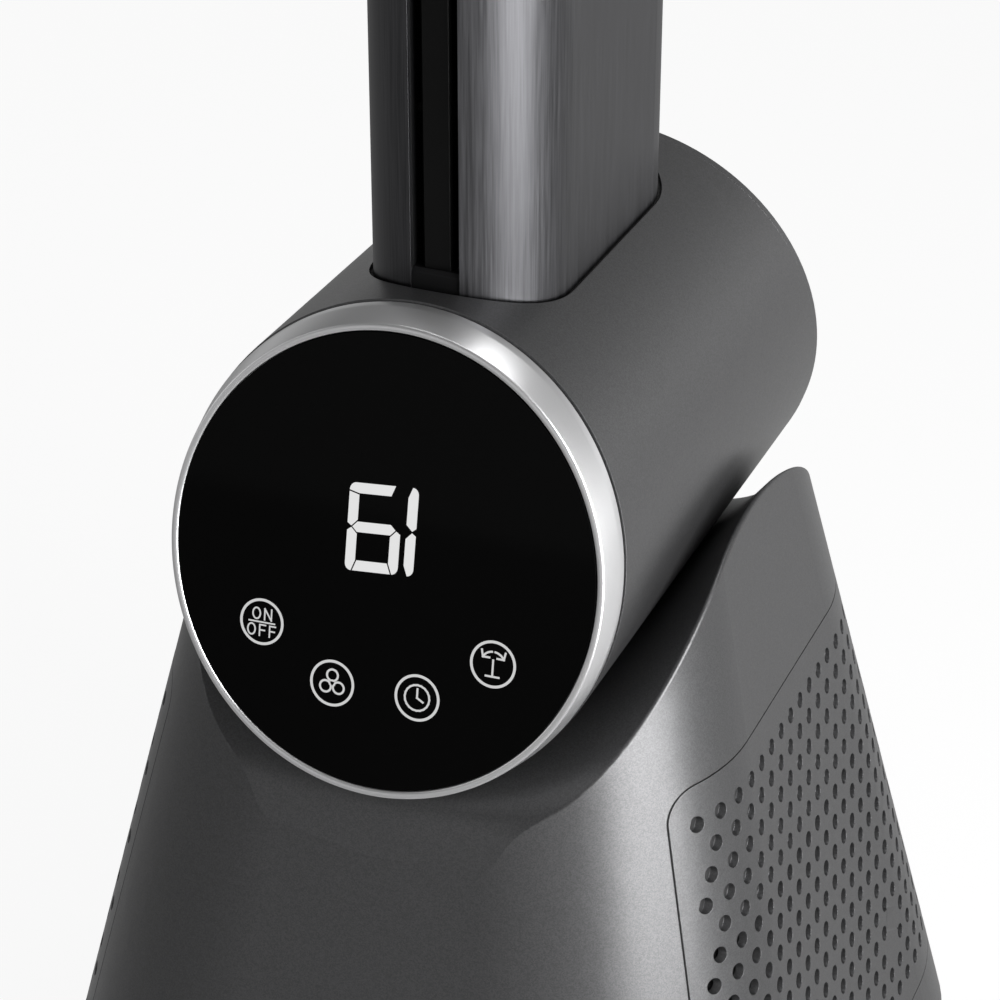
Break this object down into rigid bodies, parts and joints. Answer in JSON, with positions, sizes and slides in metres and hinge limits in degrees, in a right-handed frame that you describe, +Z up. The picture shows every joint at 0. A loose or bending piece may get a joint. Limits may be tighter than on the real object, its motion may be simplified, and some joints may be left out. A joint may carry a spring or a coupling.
{
  "type": "bladeless tower fan",
  "caption": "Bladeless tower fan: flared base with perforated intakes, a horizontal drum with a round touch display in its saddle, and a tall brushed column with a slot outlet.",
  "frame": {"origin": "on the floor under the middle of the base", "axes": "+Z up; the front, with the round display and the outlet slot, faces -Y; the right grille is the one on the +X side"},
  "size_m": [0.272, 0.2978, 1.01],
  "materials": {
    "black_plastic": "fine satin texture",
    "rubber": "matte",
    "steel": "machined",
    "screw_steel": "zinc plated",
    "spring_steel": "drawn",
    "clamp_steel": "pressed sheet",
    "motor_steel": "rolled",
    "white_plastic": "natural",
    "grey_plastic": "moulded",
    "dark_plastic": "moulded",
    "gunmetal_paint": "satin metallic",
    "filter_fabric": "non-woven",
    "green_board": "lacquered board",
    "brass": "nickel free",
    "copper_winding": "enamelled wire on laminations",
    "cast_magnet": "bonded magnet",
    "satin_aluminium": "satin",
    "brushed_dark_aluminium": "brushed, dark anodised",
    "gloss_black": "high gloss"
  },
  "bodies": {
    "foot": {"foot_disc": "black_plastic", "foot_pads": "rubber", "foot_ballast": "steel", "foot_screws": "screw_steel", "swing_spindle": "steel", "spindle_clip": "spring_steel", "glide_ring": "white_plastic", "swing_ring_gear": "white_plastic"},
    "base": {"swing_motor": "motor_steel", "chassis_screws": "screw_steel", "base_pan": "black_plastic", "pan_screws": "screw_steel", "base_housing": "gunmetal_paint", "left_grille": "gunmetal_paint", "right_grille": "gunmetal_paint", "left_filter": "filter_fabric", "right_filter": "filter_fabric", "saddle_glide_pads": "white_plastic", "power_board": "green_board", "power_inlet": "black_plastic", "inlet_pins": "brass", "inlet_shroud": "dark_plastic", "diffuser": "dark_plastic", "flange_screws": "screw_steel", "air_duct": "dark_plastic", "motor_can": "motor_steel", "motor_end_cap": "motor_steel", "motor_bearings": "steel", "motor_stator": "copper_winding", "motor_cushion": "rubber", "motor_retainer": "dark_plastic"},
    "pinion": {"swing_pinion": "white_plastic", "swing_motor_shaft": "steel"},
    "rotor": {"impeller": "grey_plastic", "blower_shaft": "steel", "motor_rotor": "cast_magnet", "wheel_nut": "screw_steel"},
    "drum": {"drum_shell": "gunmetal_paint", "drum_rear_cap": "gunmetal_paint", "tilt_clamp": "clamp_steel", "clamp_screws": "screw_steel", "bezel_ring": "satin_aluminium", "bezel_screws": "screw_steel", "display_glass": "gloss_black", "glass_gasket": "rubber", "display_carrier": "black_plastic", "display_board": "green_board", "digit_module": "white_plastic", "touch_springs": "spring_steel", "column_gasket": "rubber", "drum_plenum": "dark_plastic", "column_screws": "screw_steel", "left_column_skin": "brushed_dark_aluminium", "right_column_skin": "brushed_dark_aluminium", "column_spine": "black_plastic", "column_duct": "dark_plastic", "outlet_vane": "gloss_black", "slot_foot": "black_plastic", "slot_head": "black_plastic", "column_cap": "brushed_dark_aluminium"}
  },
  "joints": [
    {"name": "swing", "type": "hinge", "parent": "foot", "child": "base", "pos_m": [0, 0, 0.02], "axis": [0, 0, 1], "range_deg": [-35, 35]},
    {"name": "pinion_spin", "type": "hinge", "parent": "base", "child": "pinion", "pos_m": [0, -0.045, 0.015], "axis": [0, 0, 1], "range_deg": [-142, 142]},
    {"name": "rotor_spin", "type": "hinge", "parent": "base", "child": "rotor", "pos_m": [0, 0, 0.1], "axis": [0, 0, 1], "continuous": true},
    {"name": "drum_tilt", "type": "hinge", "parent": "base", "child": "drum", "pos_m": [0, 0, 0.268], "axis": [0, 1, 0], "range_deg": [-10, 10]}
  ],
  "couplings": [
    {"joint": "pinion_spin", "follows": "swing", "ratio": 4}
  ]
}
